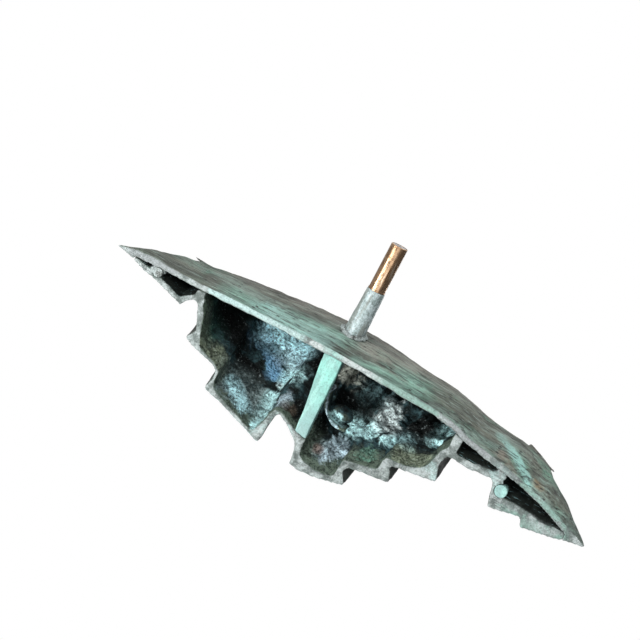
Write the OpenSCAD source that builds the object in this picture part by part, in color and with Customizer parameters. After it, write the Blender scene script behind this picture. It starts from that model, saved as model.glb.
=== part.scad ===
// Wind vane of a kinetic sculpture: a hollow bronze hull, open on one long face, that turns on a spindle.
// +Z is up, along the spindle. The origin is on the spindle axis, at the top face of the bearing bush.
// The open face looks along -Y. The slim lead end is at +X and the drooping tail end at -X.

/* [Hull] */
// Length of the hull from tip to tip
hull_length = 619; // [510:1:750]
// Height from the belly's rim to the tallest barb
hull_height = 141; // [117:1:170]
// Depth of the hull from the open face to the back, at the spindle
hull_depth = 113; // [94:1:136]
// Distance from the spindle axis to the open face
face_offset = 50; // [44:1:56]
// Height of the belly's lowest point above the bush
belly_lift = 55.5; // [45:0.5:75]
// Thickness of the belly skin
belly_t = 7; // [5.5:0.1:8.5]
// Thickness of the stepped plates
plate_t = 5; // [4:0.5:6]
// Gap between neighbouring castings, which the weld fills
weld_gap = 0.3; // [0.2:0.1:0.6]

/* [Rib and rods] */
// Depth of the centre rib behind the open face
rib_depth = 10; // [8:1:16]
// Thickness of the gusset between the rib and the spindle
gusset_t = 6; // [4:1:10]
// Radius of the rounded hood inside the tail cavity
hood_r = 30; // [24:1:34]
// Diameter of the lead rod
lead_rod_d = 12; // [10:0.5:13]
// Diameter of the tail rod
tail_rod_d = 15; // [12:0.5:16]
// Length of the lead rod
lead_rod_length = 10; // [8:1:14]
// Length of the tail rod
tail_rod_length = 16; // [12:1:20]
// How far the rods stand proud of the open face
rod_proud = 0.8; // [0.4:0.1:2]

/* [Spindle and bearing] */
// Diameter of the spindle
spindle_d = 14; // [11.5:0.1:17]
// Outer diameter of the bearing bush
bush_d = 20; // [19:0.5:26]
// Length of the bearing bush
bush_length = 56; // [46:1:68]
// Radial running clearance between the spindle and the bush
run_gap = 0.05; // [0.02:0.01:0.1]
// Diameter of the sleeve at its shoulder, above the bush
sleeve_d = 22; // [20:0.5:26]
// Diameter of the sleeve where it enters the belly
sleeve_root_d = 25; // [25:0.5:30]
// Thickness of the thrust washer
thrust_t = 1.5; // [1:0.5:3]
// Play between the thrust washer and the sleeve's shoulder
thrust_play = 0.1; // [0.05:0.05:0.3]
// Diameter of the retaining screw's thread
screw_d = 5; // [4:0.5:6]

/* [Hidden] */
$fn = 64;

patina = "darkseagreen";
rim_grey = "lightgrey";
bright_bronze = "peru";

// The outline below is drawn on a sheet of these sizes, and is scaled to the driving dimensions.
drawn_length = 619;
drawn_height = 141;
drawn_depth = 113;
drawn_t = 5;
kx = hull_length / drawn_length;
kz = hull_height / drawn_height;
ky = hull_depth / drawn_depth;

// Height of the belly's rim on the open face, above its lowest point, as [x, height].
rim_line = [[-338, 72], [-300, 58.5], [-275, 50], [-240, 41.5], [-200, 35], [-175, 31], [-150, 24],
    [-125, 21], [-50, 20], [0, 20], [50, 22], [100, 24], [150, 26.5], [175, 28.5], [250, 30.5], [281, 36.5]];
// Depth of the hull behind the open face, as [x, depth]. Its sudden steps are the barbs of the back edge.
depth_line = [[-338, 3], [-300, 44], [-290, 50], [-280, 55], [-273, 60], [-268, 85], [-240, 82], [-225, 81],
    [-200, 86], [-175, 90], [-150, 92], [-100, 99], [-50, 104], [0, 112], [50, 113], [75, 111], [100, 107],
    [125, 101], [150, 91], [185, 78], [202, 76], [206, 61], [225, 48], [240, 27], [250, 15], [262, 9],
    [281, 3]];
// How far the belly's crest hangs below its rim, as [x, drop].
crest_line = [[-338, 0], [-300, 12], [-262, 20], [-225, 23], [-200, 19], [-150, 14], [-100, 15], [-50, 18],
    [0, 20], [50, 17], [100, 13], [150, 11], [200, 10], [225, 9], [250, 5], [281, 0]];
// Smooth height of the hull's section on the open face, as [x, height].
section_line = [[-338, 2], [-268, 44], [-226, 50], [-164, 70], [-118, 98], [-76, 130], [-10, 141], [33, 135],
    [116, 108], [162, 66], [185, 34], [250, 15], [281, 2]];
// The crest's place in the depth, and how the section's height falls towards the back edge.
crest_share = 0.66;
fall_power = 1.7;
back_height = 13;
back_share = 0.1;
// The least rise of the stepped wall over the belly's rim, which leaves room for the spine between them.
spine_least = 2.5;
spine_tip = 0.6;
back_rise = belly_t + plate_t + 3 * weld_gap + spine_least;
// How little the plates may stand over the belly's rim, and the least thickness of their noses.
plate_low = belly_t + 3 * weld_gap + spine_tip;
lip = 2.5;
// How far the steps fan out from the spindle towards the back edge.
fan = 0.12;
fan_reach = 190;

// A point of the drawing is [x, height, rise, shift, least]. The first two scale with the hull and the rest
// don't: how far it is raised, how far it is moved along X, and how little it may stand over the belly's rim.
function outer(x, z) = [x, z, 0, 0, plate_low + lip];
function inner(x, z) = [x, z + drawn_t, -plate_t, 0, plate_low];
function below(p) = [p[0], p[1], p[2] - weld_gap, p[3], p[4] - weld_gap];
function rim(x) = lookup(x, rim_line);
function belly_out(x) = [x, rim(x), 0, 0, 0];
function belly_in(x) = [x, rim(x), belly_t, 0, 0];
function on_belly(x) = [x, rim(x), belly_t + 2 * weld_gap, 0, 0];
function shifted(p, dx) = [p[0], p[1], p[2], p[3] + dx, p[4]];

// Carries a point of the drawing to its place in the hull, at the share s of the depth there.
function arch(s) = 1 - pow((s - crest_share) / crest_share, 2);
function squeeze(x, s) =
    let (tall = lookup(x, section_line), low = min(tall, back_height + back_share * tall))
    1 - pow(s, fall_power) * (1 - low / tall);
function spread(x, s) = 1 + fan * s * max(0, 1 - pow(x / fan_reach, 2));
function risen(h, x, s) = max(h * squeeze(x, s), min(h, back_rise));
function at(p, s) = [
    p[0] * kx * spread(p[0], s) + p[3],
    -face_offset + s * lookup(p[0], depth_line) * ky,
    belly_lift + rim(p[0]) - lookup(p[0], crest_line) * arch(s)
        + max(risen((p[1] - rim(p[0])) * kz, p[0], s) + p[2], p[4])
];
function depth_share(x, y) = (y + face_offset) / (lookup(x, depth_line) * ky);

// The stepped side's wall on the open face, from the lead end to the tail, as [outer, inner] stations.
wall = [
    // lead_plate, which ends in a hook
    [outer(258, 43), inner(258, 39.8)],
    [outer(225, 51), inner(225, 44.5)],
    [outer(206, 56.7), inner(206, 49.2)],
    [outer(202, 57.9), inner(202, 50.6)],
    [outer(185, 62.5), inner(190, 54)],
    [outer(181, 55), inner(186, 50)],
    [outer(173.5, 49), inner(177, 44)],
    // lead_wall, which ends in the first barb
    [outer(167.5, 50), inner(164.5, 43)],
    [outer(161, 65), inner(155, 59.5)],
    [outer(155.5, 79.5), inner(147.5, 83)],
    [outer(162, 90.5), inner(143.5, 91)],
    [outer(160, 93.5), inner(142, 94)],
    [outer(147, 98), inner(137.5, 96)],
    // lead_step_1
    [outer(118, 105), inner(120, 101)],
    [outer(113.5, 109.5), inner(110, 108)],
    [outer(113, 121), inner(109.5, 120)],
    [outer(116.5, 131.5), inner(107.5, 126)],
    [outer(113, 134), inner(104.5, 129.5)],
    [outer(102, 136.5), inner(101, 131)],
    // lead_step_2
    [outer(75, 144.5), inner(75, 139.5)],
    [outer(50, 152), inner(50, 148.5)],
    [outer(37, 156.5), inner(44.5, 148)],
    [outer(33, 155.5), inner(42.5, 144.5)],
    [outer(31.5, 141.5), inner(38.5, 134.5)],
    [outer(30.5, 127.5), inner(36, 122.5)],
    [outer(28.5, 118.5), inner(33, 113)],
    [outer(24.5, 115.4), inner(25.5, 112)],
    // foot_plate, over the centre rib
    [outer(12, 121.5), inner(10, 118.5)],
    [outer(4, 128), inner(2, 123)],
    [outer(-4, 134.5), inner(-5, 125)],
    [outer(-8, 144.5), inner(-13.5, 126)],
    [outer(-9, 151.5), inner(-14.5, 136.5)],
    [outer(-10.5, 160.5), inner(-16, 145)],
    // tail_step_1
    [outer(-25, 161), inner(-24, 150.5)],
    [outer(-40, 159.3), inner(-40, 152.5)],
    [outer(-58, 155.5), inner(-57, 148.8)],
    [outer(-76, 151), inner(-60, 147)],
    [outer(-75.5, 147.5), inner(-60.5, 142.5)],
    [outer(-69, 138), inner(-61, 135.5)],
    [outer(-69.5, 132.3), inner(-62, 127.5)],
    [outer(-72, 130.3), inner(-64, 123.8)],
    // tail_step_2
    [outer(-90, 125.8), inner(-88, 117.5)],
    [outer(-104, 124), inner(-99.5, 115.5)],
    [outer(-118.5, 121), inner(-100.5, 112.5)],
    [outer(-118, 118), inner(-101, 109.5)],
    [outer(-111.8, 105), inner(-102, 101.5)],
    [outer(-113.5, 102), inner(-104.5, 97)],
    // tail_step_3, which ends at the slot
    [outer(-130, 99.5), inner(-127, 94)],
    [outer(-148, 96.8), inner(-142, 87.5)],
    [outer(-164.5, 93.5), inner(-145.5, 83.5)],
    [outer(-163.5, 88.5), inner(-148, 78.5)],
    [outer(-158.5, 74), inner(-150.5, 69.5)],
    [outer(-160.5, 64.5), inner(-153, 59.5)],
    [outer(-163, 60.7), inner(-158, 51.5)],
    [outer(-170, 60.3), inner(-170, 54.2)],
    // slot_plate
    [outer(-190, 61), inner(-190, 53.5)],
    [outer(-214, 58.5), inner(-214, 50.5)],
    // tail_wall, which holds the tail rod
    [outer(-218, 60.5), inner(-228, 52.5)],
    [outer(-221, 67.5), inner(-231, 59.5)],
    [outer(-223, 76.5), inner(-234, 66.5)],
    [outer(-226.5, 88), inner(-239, 71)],
    [outer(-245, 84), inner(-250, 70)],
    [outer(-261.5, 80.2), inner(-261.5, 70)],
    [outer(-265, 82.5), inner(-266, 70.3)],
    [outer(-268, 90.5), inner(-268.5, 71)],
    // tail_plate
    [outer(-273, 89.3), inner(-273.5, 72.2)],
    [outer(-285, 86.8), inner(-286, 73.8)],
    [outer(-300, 82.5), inner(-300, 72)],
    [outer(-314, 78.7), inner(-314, 70.7)]
];
// The first and last stations of each casting in the list above.
lead_plate_span = [0, 6];
lead_wall_span = [6, 12];
lead_step_1_span = [12, 18];
lead_step_2_span = [18, 26];
foot_span = [26, 32];
tail_step_1_span = [32, 40];
tail_step_2_span = [40, 46];
tail_step_3_span = [46, 54];
slot_span = [54, 56];
tail_wall_span = [56, 64];
tail_plate_span = [64, 68];
lead_end = lead_plate_span[0];
tail_end = tail_plate_span[1];

// The belly's stations: where it is cut into three castings, and how closely it is drawn.
lead_cut = 112;
tail_cut = -112;
lead_nose = 258;
tail_nose = -314;
belly_steps = 14;
lead_belly_x = [lead_nose, 240, 225, 206, 202, 185, 170, 155, 140, 126, lead_cut];
mid_belly_x = [for (i = [0:belly_steps]) lead_cut + (tail_cut - lead_cut) * i / belly_steps];
tail_belly_x = [tail_cut, -125, -138, -150, -163, -175, -188, -200, -213, -225, -240, -252, -262, -268,
    -273, -282, -300, tail_nose];
layers = 8;
spine_share = 1 - 1 / layers;

// The rib's edges at the foot and at the belly, and the faces of the webs.
rib_top_x = [0.8, -13.2];
rib_top_z = [122.8, 125.3];
rib_root_x = [12, -10];
lead_web_x = [174, 163.5];
lead_web_z = [43.5, 42.8];
lead_web_reach = 0.6;
slot_web_x = [-158, -168.5];
slot_web_z = [51.2, 53.6];
slot_web_reach = 0.75;
tail_web_x = [-217, -228];
tail_web_z = [50.7, 52.2];
tail_web_reach = 0.42;
lead_rod_at = outer(225, 41.5);
tail_rod_at = outer(-231.5, 64.5);

// The hood's place beside the rib, the angles it sweeps and how far it stops short of the spindle.
hood_at = [-10 - hood_r, 99 * kz - hood_r];
hood_from = -25;
hood_to = 105;
hood_t = 3;
hood_steps = 16;
hood_inset = 5;

// The bearing, from the bush's top face at z = 0.
shoulder_z = thrust_t + thrust_play;
sleeve_end_z = belly_lift + belly_t + 9;
sleeve_root_z = belly_lift - 5;
end_recess = 0.3;
screw_head_h = 2.4;
washer_t = 1.5;
washer_overlap = 0.43 * (bush_d - spindle_d) / 2;
end_play = 0.4;
side_gap = 0.2;
chamfer = 0.6;
rod_end_z = -bush_length + end_recess + screw_head_h + washer_t;
washer_r = spindle_d / 2 + washer_overlap;
screw_head_d = 2 * washer_r - 0.6;
rod_top_z = belly_lift + 52;
screw_depth = 15;
hex_d = 0.75 * screw_d;
hex_h = 0.6 * screw_head_h;
weld_r = 3.1;

// One casting: a strip of stations, carried from the share s0 of the depth to the share s1.
module casting(stations, s0 = 0, s1 = 1, steps = layers) {
    n = len(stations);
    points = [
        for (j = [0:steps])
        for (station = stations)
        for (p = station)
        at(p, s0 + (s1 - s0) * j / steps)
    ];
    // Corner of the grid: layer j, station k, side 0 outside and 1 inside.
    function v(j, k, side) = j * 2 * n + 2 * k + side;
    quads = concat(
        [for (j = [0:steps - 1], k = [0:n - 2])
            [v(j, k, 0), v(j, k + 1, 0), v(j + 1, k + 1, 0), v(j + 1, k, 0)]],
        [for (j = [0:steps - 1], k = [0:n - 2])
            [v(j, k, 1), v(j + 1, k, 1), v(j + 1, k + 1, 1), v(j, k + 1, 1)]],
        [for (k = [0:n - 2]) [v(0, k, 0), v(0, k, 1), v(0, k + 1, 1), v(0, k + 1, 0)]],
        [for (k = [0:n - 2]) [v(steps, k, 0), v(steps, k + 1, 0), v(steps, k + 1, 1), v(steps, k, 1)]],
        [for (j = [0:steps - 1]) [v(j, 0, 0), v(j + 1, 0, 0), v(j + 1, 0, 1), v(j, 0, 1)]],
        [for (j = [0:steps - 1]) [v(j, n - 1, 0), v(j, n - 1, 1), v(j + 1, n - 1, 1), v(j + 1, n - 1, 0)]]
    );
    triangles = [for (q = quads) for (t = [[q[0], q[1], q[2]], [q[0], q[2], q[3]]]) t];
    polyhedron(points, triangles);
}

// Stations first to last of a list, with half a weld gap taken off each end.
function cut(list, first, last) = [
    for (k = [first:last])
    let (dx = k == first ? -weld_gap / 2 : (k == last ? weld_gap / 2 : 0))
    [for (p = list[k]) shifted(p, dx)]
];

module wall_casting(span) {
    color(patina) casting(cut(wall, span[0], span[1]));
}

module belly_casting(xs) {
    stations = [for (x = xs) [belly_in(x), belly_out(x)]];
    color(patina) casting(cut(stations, 0, len(xs) - 1));
}

// The strip that closes the back edge between the belly and the stepped wall.
module spine(first, last) {
    stations = [for (k = [0:len(wall) - 1]) [below(wall[k][1]), on_belly(wall[k][1][0])]];
    color(patina) casting(cut(stations, first, last), spine_share, 1, 1);
}

// A wall between two cells, from the belly to the stepped wall, and as deep as the cells are.
module web(xs, zs, reach) {
    stations = [for (i = [0, 1]) [below(inner(xs[i], zs[i])), on_belly(xs[i])]];
    color(patina) casting(stations, 0, reach);
}

module rod(centre, d, length, grow = 0) {
    p = at(centre, 0);
    translate([p[0], -face_offset - rod_proud, p[2]])
        rotate([-90, 0, 0])
            cylinder(d = d + 2 * grow, h = length + grow);
}

module lead_plate() {
    difference() {
        wall_casting(lead_plate_span);
        rod(lead_rod_at, lead_rod_d, lead_rod_length, weld_gap / 2);
    }
}

module tail_wall() {
    difference() {
        wall_casting(tail_wall_span);
        rod(tail_rod_at, tail_rod_d, tail_rod_length, weld_gap / 2);
    }
}

module lead_belly() {
    difference() {
        belly_casting(lead_belly_x);
        rod(lead_rod_at, lead_rod_d, lead_rod_length, weld_gap / 2);
    }
}

module mid_belly() {
    difference() {
        belly_casting(mid_belly_x);
        cylinder(d = sleeve_root_d + 2 * side_gap, h = 2 * sleeve_end_z);
    }
}

module tail_belly() {
    belly_casting(tail_belly_x);
}

// The solid nose of each end, where the belly and the stepped wall run together.
module lead_tip() {
    nose = wall[lead_end][0];
    stations = [[[281, 37.5, 0, 0, 0], belly_out(281)], [nose, belly_out(nose[0])]];
    color(patina) casting([stations[0], [for (p = stations[1]) shifted(p, weld_gap / 2)]]);
}

module tail_tip() {
    nose = wall[tail_end][0];
    stations = [[nose, belly_out(nose[0])], [[-338, 73, 0, 0, 0], belly_out(-338)]];
    color(patina) casting([[for (p = stations[0]) shifted(p, -weld_gap / 2)], stations[1]]);
}

module centre_rib() {
    stations = [for (i = [0, 1]) [below(inner(rib_top_x[i], rib_top_z[i])), on_belly(rib_root_x[i])]];
    color(patina) casting(stations, 0, depth_share(0, rib_depth - face_offset), 2);
}

// A plate behind the rib that ties it to the spindle.
module rib_gusset() {
    front = rib_depth - face_offset + weld_gap;
    back = -spindle_d / 2 - weld_gap;
    steps = 5;
    foot = [for (i = [0:steps])
        let (y = front + (back - front) * i / steps, p = at(on_belly(0), depth_share(0, y)))
        [y, p[2] + weld_gap]];
    color(patina)
        translate([-gusset_t / 2, 0, 0])
            rotate([90, 0, 90])
                linear_extrude(gusset_t)
                    difference() {
                        polygon(concat(foot, [[back, rod_top_z - 6], [front, rod_top_z + 6]]));
                        translate([-sleeve_root_d / 2 - side_gap, 0])
                            square([sleeve_root_d, sleeve_end_z + side_gap]);
                    }
}

// A bent plate behind the rib that hoods the hollow on its tail side.
module inner_hood() {
    front = rib_depth - face_offset + weld_gap;
    back = -spindle_d / 2 - hood_inset;
    angles = [for (i = [0:hood_steps]) hood_from + (hood_to - hood_from) * i / hood_steps];
    outer_arc = [for (a = angles) [hood_at[0] + hood_r * cos(a), hood_at[1] + hood_r * sin(a)]];
    inner_arc = [for (i = [hood_steps:-1:0])
        let (a = angles[i], r = hood_r - hood_t)
        [hood_at[0] + r * cos(a), hood_at[1] + r * sin(a)]];
    color(patina)
        translate([0, back, belly_lift])
            rotate([90, 0, 0])
                linear_extrude(back - front)
                    polygon(concat(outer_arc, inner_arc));
}

module lead_rod() {
    color(patina) rod(lead_rod_at, lead_rod_d, lead_rod_length);
}

module tail_rod() {
    color(rim_grey) rod(tail_rod_at, tail_rod_d, tail_rod_length);
}

module bearing_bush() {
    seat = rod_end_z + end_play;
    color(bright_bronze)
        rotate_extrude()
            polygon([
                [spindle_d / 2 + run_gap, 0],
                [bush_d / 2, 0],
                [bush_d / 2, chamfer - bush_length],
                [bush_d / 2 - chamfer, -bush_length],
                [washer_r + side_gap, -bush_length],
                [washer_r + side_gap, seat],
                [spindle_d / 2 + run_gap, seat]
            ]);
}

module thrust_washer() {
    color(bright_bronze)
        difference() {
            cylinder(d = sleeve_d - 1, h = thrust_t);
            translate([0, 0, -1]) cylinder(d = spindle_d + 2 * side_gap, h = thrust_t + 2);
        }
}

module spindle_rod() {
    r = spindle_d / 2;
    color(rim_grey)
        difference() {
            rotate_extrude()
                polygon([
                    [0, rod_end_z],
                    [r - chamfer, rod_end_z],
                    [r, rod_end_z + chamfer],
                    [r, rod_top_z - chamfer],
                    [r - chamfer, rod_top_z],
                    [0, rod_top_z]
                ]);
            translate([0, 0, rod_end_z - 1]) cylinder(d = screw_d, h = screw_depth + 2);
        }
}

module spindle_sleeve() {
    color("lightslategrey")
        rotate_extrude()
            polygon([
                [spindle_d / 2, shoulder_z],
                [sleeve_d / 2 - chamfer, shoulder_z],
                [sleeve_d / 2, shoulder_z + chamfer],
                [sleeve_root_d / 2, sleeve_root_z],
                [sleeve_root_d / 2, sleeve_end_z - chamfer],
                [sleeve_root_d / 2 - chamfer, sleeve_end_z],
                [spindle_d / 2, sleeve_end_z]
            ]);
}

// The bead round the sleeve, cut to the belly's curve.
module sleeve_weld() {
    bead_r = sleeve_root_d / 2 + side_gap;
    mouth = at(belly_out(0), depth_share(0, 0));
    front = at(belly_out(0), depth_share(0, -sleeve_root_d / 2));
    slope = atan2(front[2] - mouth[2], sleeve_root_d / 2);
    color(rim_grey)
        difference() {
            translate([0, 0, mouth[2]])
                rotate([-slope, 0, 0])
                    rotate_extrude()
                        translate([bead_r, 0])
                            scale([1, 0.8])
                                circle(r = weld_r, $fn = 24);
            cylinder(r = bead_r, h = 2 * sleeve_end_z);
            hull_block();
        }
}

// Everything from just below the belly's outer face upwards, near the sleeve.
module hull_block() {
    stations = [for (x = mid_belly_x) [[x, rim(x), 2 * belly_t, 0, 0], [x, rim(x), -weld_gap, 0, -weld_gap]]];
    casting(stations);
}

module retaining_washer() {
    color("silver")
        translate([0, 0, rod_end_z - washer_t])
            difference() {
                cylinder(r = washer_r, h = washer_t);
                translate([0, 0, -1]) cylinder(d = screw_d + 2 * side_gap, h = washer_t + 2);
            }
}

module retaining_screw() {
    head_z = rod_end_z - washer_t - screw_head_h;
    color("silver")
        difference() {
            union() {
                translate([0, 0, head_z]) cylinder(d = screw_head_d, h = screw_head_h);
                translate([0, 0, head_z]) cylinder(d = screw_d, h = screw_head_h + washer_t + screw_depth);
            }
            translate([0, 0, head_z - 1]) cylinder(d = hex_d, h = hex_h + 1, $fn = 6);
        }
}

bearing_bush();
thrust_washer();
spindle_rod();
spindle_sleeve();
sleeve_weld();
retaining_washer();
retaining_screw();
rib_gusset();
inner_hood();
centre_rib();
web(lead_web_x, lead_web_z, lead_web_reach);  // lead_web
web(slot_web_x, slot_web_z, slot_web_reach);  // slot_web
web(tail_web_x, tail_web_z, tail_web_reach);  // tail_web
lead_rod();
tail_rod();
lead_belly();
mid_belly();
tail_belly();
lead_tip();
tail_tip();
lead_plate();
wall_casting(lead_wall_span);  // lead_wall
wall_casting(lead_step_1_span);  // lead_step_1
wall_casting(lead_step_2_span);  // lead_step_2
wall_casting(foot_span);  // foot_plate
wall_casting(tail_step_1_span);  // tail_step_1
wall_casting(tail_step_2_span);  // tail_step_2
wall_casting(tail_step_3_span);  // tail_step_3
wall_casting(slot_span);  // slot_plate
tail_wall();
wall_casting(tail_plate_span);  // tail_plate
spine(lead_end, lead_step_1_span[1]);  // lead_spine
spine(lead_step_2_span[0], tail_step_2_span[1]);  // mid_spine
spine(tail_step_3_span[0], tail_end);  // tail_spine
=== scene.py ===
import math

import bpy
import numpy
from mathutils import Matrix, Vector
from mathutils.bvhtree import BVHTree
from mathutils.kdtree import KDTree


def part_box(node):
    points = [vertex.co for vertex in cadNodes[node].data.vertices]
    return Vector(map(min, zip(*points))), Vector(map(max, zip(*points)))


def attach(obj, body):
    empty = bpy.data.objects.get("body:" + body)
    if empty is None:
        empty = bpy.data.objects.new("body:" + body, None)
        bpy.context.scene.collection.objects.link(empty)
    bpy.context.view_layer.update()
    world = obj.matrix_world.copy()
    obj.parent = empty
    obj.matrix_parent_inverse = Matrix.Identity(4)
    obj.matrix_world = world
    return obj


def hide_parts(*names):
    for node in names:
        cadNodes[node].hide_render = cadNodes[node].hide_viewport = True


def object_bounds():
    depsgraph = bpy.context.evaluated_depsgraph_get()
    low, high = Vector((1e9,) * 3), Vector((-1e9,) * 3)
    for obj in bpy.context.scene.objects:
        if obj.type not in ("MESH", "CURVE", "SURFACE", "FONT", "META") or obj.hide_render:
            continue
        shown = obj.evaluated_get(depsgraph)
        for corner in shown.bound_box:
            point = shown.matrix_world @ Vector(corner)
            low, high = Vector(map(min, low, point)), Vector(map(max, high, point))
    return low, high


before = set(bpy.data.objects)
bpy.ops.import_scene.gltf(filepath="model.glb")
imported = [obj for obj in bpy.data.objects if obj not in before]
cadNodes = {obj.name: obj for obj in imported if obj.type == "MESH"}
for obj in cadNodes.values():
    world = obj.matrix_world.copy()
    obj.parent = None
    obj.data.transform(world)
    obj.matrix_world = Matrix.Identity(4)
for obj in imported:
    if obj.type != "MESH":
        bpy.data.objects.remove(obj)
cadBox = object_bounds()
print("loaded", len(cadNodes), "solids")


# small helpers, used by every piece

def dropSelection():
    if bpy.context.mode != "OBJECT":
        bpy.ops.object.mode_set(mode="OBJECT")
    bpy.ops.object.select_all(action="DESELECT")


def pickUp(piece):
    dropSelection()
    piece.select_set(True)
    bpy.context.view_layer.objects.active = piece


def copySolids(name, solids):
    # copies the solids, joins them and merges their loose triangles
    copies = []
    for solid in solids:
        twin = cadNodes[solid].copy()
        twin.data = cadNodes[solid].data.copy()
        twin.parent = None
        for tag in list(twin.keys()):
            del twin[tag]
        bpy.context.scene.collection.objects.link(twin)
        copies.append(twin)
    pickUp(copies[0])
    for twin in copies:
        twin.select_set(True)
    if len(copies) > 1:
        bpy.ops.object.join()
    piece = bpy.context.view_layer.objects.active
    piece.name = name
    piece.data.name = name
    piece.data.materials.clear()
    bpy.ops.object.mode_set(mode="EDIT")
    bpy.ops.mesh.select_all(action="SELECT")
    bpy.ops.mesh.remove_doubles(threshold=0.00001)
    bpy.ops.object.mode_set(mode="OBJECT")
    return piece


def applyAll(piece):
    pickUp(piece)
    for step in list(piece.modifiers):
        bpy.ops.object.modifier_apply(modifier=step.name)


def melt(piece, grain, swell=0.0, soften=2):
    # swells the solids until they touch, then melts them into one skin
    if swell:
        grow = piece.modifiers.new("swell", "DISPLACE")
        grow.strength = swell
        grow.mid_level = 0.0
    skin = piece.modifiers.new("melt", "REMESH")
    skin.mode = "VOXEL"
    skin.voxel_size = grain
    skin.use_smooth_shade = True
    if soften:
        wash = piece.modifiers.new("soften", "SMOOTH")
        wash.factor = 0.5
        wash.iterations = soften
    applyAll(piece)


def hammer(piece, marks):
    # pushes the surface in and out by patterns that run on from piece to piece
    for name, size, height, middle, group in marks:
        pattern = bpy.data.textures.get(name) or bpy.data.textures.new(name, "CLOUDS")
        pattern.noise_scale = size
        pattern.noise_depth = 2
        push = piece.modifiers.new(name, "DISPLACE")
        push.texture = pattern
        push.texture_coords = "GLOBAL"
        push.strength = height
        push.mid_level = middle
        push.vertex_group = group
    applyAll(piece)


def keepInBox(piece, low, high):
    for vertex in piece.data.vertices:
        for side in range(3):
            vertex.co[side] = min(max(vertex.co[side], low[side]), high[side])


def smoothStep(low, high, value):
    share = min(max((value - low) / (high - low), 0.0), 1.0)
    return share * share * (3 - 2 * share)


def surfaceTree(piece):
    mesh = piece.data
    corners = [tuple(vertex.co) for vertex in mesh.vertices]
    return BVHTree.FromPolygons(corners, [tuple(face.vertices) for face in mesh.polygons])


# materials

def startMaterial(name):
    material = bpy.data.materials.new(name)
    material.use_nodes = True
    tree = material.node_tree
    tree.nodes.clear()
    output = tree.nodes.new("ShaderNodeOutputMaterial")
    shader = tree.nodes.new("ShaderNodeBsdfPrincipled")
    tree.links.new(shader.outputs["BSDF"], output.inputs["Surface"])
    place = tree.nodes.new("ShaderNodeTexCoord")
    return material, tree, shader, place.outputs["Object"]


def feed(tree, socket, value):
    if isinstance(value, bpy.types.NodeSocket):
        tree.links.new(value, socket)
    elif isinstance(value, tuple) and len(value) == 3 and socket.type == "RGBA":
        socket.default_value = (*value, 1.0)
    else:
        socket.default_value = value


def stretch(tree, place, scale, turn=(0.0, 0.0, 0.0)):
    mapping = tree.nodes.new("ShaderNodeMapping")
    tree.links.new(place, mapping.inputs["Vector"])
    mapping.inputs["Scale"].default_value = scale
    mapping.inputs["Rotation"].default_value = turn
    return mapping.outputs["Vector"]


def cloudy(tree, place, scale, detail=4.0, rough=0.55, warp=0.0):
    noise = tree.nodes.new("ShaderNodeTexNoise")
    tree.links.new(place, noise.inputs["Vector"])
    noise.inputs["Scale"].default_value = scale
    noise.inputs["Detail"].default_value = detail
    noise.inputs["Roughness"].default_value = rough
    noise.inputs["Distortion"].default_value = warp
    return noise.outputs["Fac"]


def cells(tree, place, scale):
    voronoi = tree.nodes.new("ShaderNodeTexVoronoi")
    tree.links.new(place, voronoi.inputs["Vector"])
    voronoi.inputs["Scale"].default_value = scale
    return voronoi.outputs["Distance"]


def between(tree, value, low, high, bottom=0.0, top=1.0):
    window = tree.nodes.new("ShaderNodeMapRange")
    window.interpolation_type = "SMOOTHSTEP"
    feed(tree, window.inputs["Value"], value)
    window.inputs["From Min"].default_value = low
    window.inputs["From Max"].default_value = high
    window.inputs["To Min"].default_value = bottom
    window.inputs["To Max"].default_value = top
    return window.outputs["Result"]


def sums(tree, kind, first, second):
    working = tree.nodes.new("ShaderNodeMath")
    working.operation = kind
    feed(tree, working.inputs[0], first)
    feed(tree, working.inputs[1], second)
    return working.outputs["Value"]


def centred(tree, pattern, size):
    # a pattern that swings round zero, times its size
    return sums(tree, "MULTIPLY", sums(tree, "SUBTRACT", pattern, 0.5), size)


def thinLine(tree, pattern, width, strength):
    # a thin line where a pattern crosses its middle
    offset = sums(tree, "ABSOLUTE", sums(tree, "SUBTRACT", pattern, 0.5), 0.0)
    return between(tree, offset, 0.0, width, strength, 0.0)


def blendColour(tree, share, first, second, kind="MIX"):
    mix = tree.nodes.new("ShaderNodeMix")
    mix.data_type = "RGBA"
    mix.blend_type = kind
    feed(tree, mix.inputs["Factor"], share)
    feed(tree, mix.inputs[6], first)
    feed(tree, mix.inputs[7], second)
    return mix.outputs[2]


def axes(tree, vector):
    split = tree.nodes.new("ShaderNodeSeparateXYZ")
    tree.links.new(vector, split.inputs["Vector"])
    return split.outputs["X"], split.outputs["Y"], split.outputs["Z"]


def addBump(tree, shader, height, distance, strength=1.0):
    bump = tree.nodes.new("ShaderNodeBump")
    bump.inputs["Distance"].default_value = distance
    bump.inputs["Strength"].default_value = strength
    tree.links.new(height, bump.inputs["Height"])
    tree.links.new(bump.outputs["Normal"], shader.inputs["Normal"])


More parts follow.
